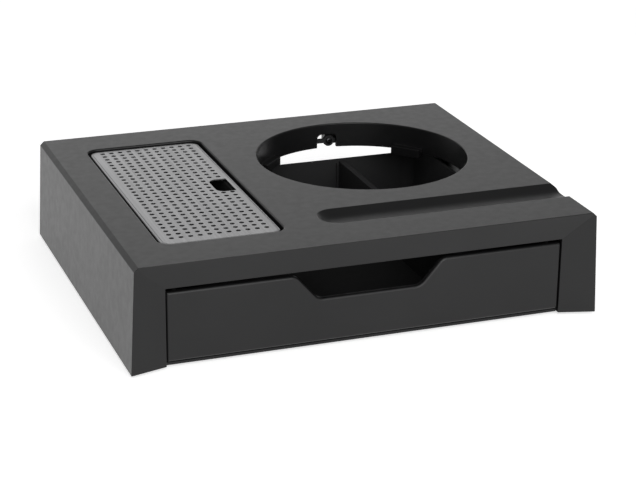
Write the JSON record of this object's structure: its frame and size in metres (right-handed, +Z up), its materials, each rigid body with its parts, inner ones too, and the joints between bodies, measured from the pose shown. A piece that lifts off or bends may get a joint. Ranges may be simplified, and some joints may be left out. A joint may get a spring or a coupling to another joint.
{
  "type": "hospitality tray with drawer",
  "caption": "Low black moulded welcome tray with an open round kettle seat, a recessed perforated drip grille, a shallow trough and a pull-out drawer behind a bevelled surround.",
  "frame": {"origin": "on the floor, below the middle of the housing", "axes": "+X to the right as seen from the front, +Y to the back, +Z up; the drawer opens towards -Y"},
  "size_m": [0.36, 0.295, 0.082],
  "materials": {
    "housing_plastic": "finely textured satin black",
    "inner_plastic": "smooth satin black",
    "grille_steel": "satin stainless steel",
    "screw_steel": "black zinc",
    "foot_rubber": "matte"
  },
  "bodies": {
    "base": {"housing": "housing_plastic", "base_panel": "inner_plastic", "base_screws": "screw_steel", "foot_front_left": "foot_rubber", "foot_front_right": "foot_rubber", "foot_rear_left": "foot_rubber", "foot_rear_right": "foot_rubber", "runner_left": "inner_plastic", "runner_right": "inner_plastic", "runner_screws": "screw_steel", "cord_clamp": "inner_plastic", "cord_clamp_screw": "screw_steel"},
    "drawer": {"drawer_tray": "inner_plastic", "drawer_front": "housing_plastic", "drawer_front_screws": "screw_steel", "drawer_divider": "inner_plastic"},
    "drip_pan": {"drip_tray": "inner_plastic"},
    "grille": {"drip_grille": "grille_steel"}
  },
  "joints": [
    {"name": "drawer_slide", "type": "slide", "parent": "base", "child": "drawer", "axis": [0, -1, 0], "range_m": [0, 0.2]},
    {"name": "drip_tray_lift", "type": "slide", "parent": "base", "child": "drip_pan", "axis": [0, 0, 1], "range_m": [0, 0.06]},
    {"name": "drip_grille_lift", "type": "slide", "parent": "drip_pan", "child": "grille", "axis": [0, 0, 1], "range_m": [0, 0.04]}
  ]
}
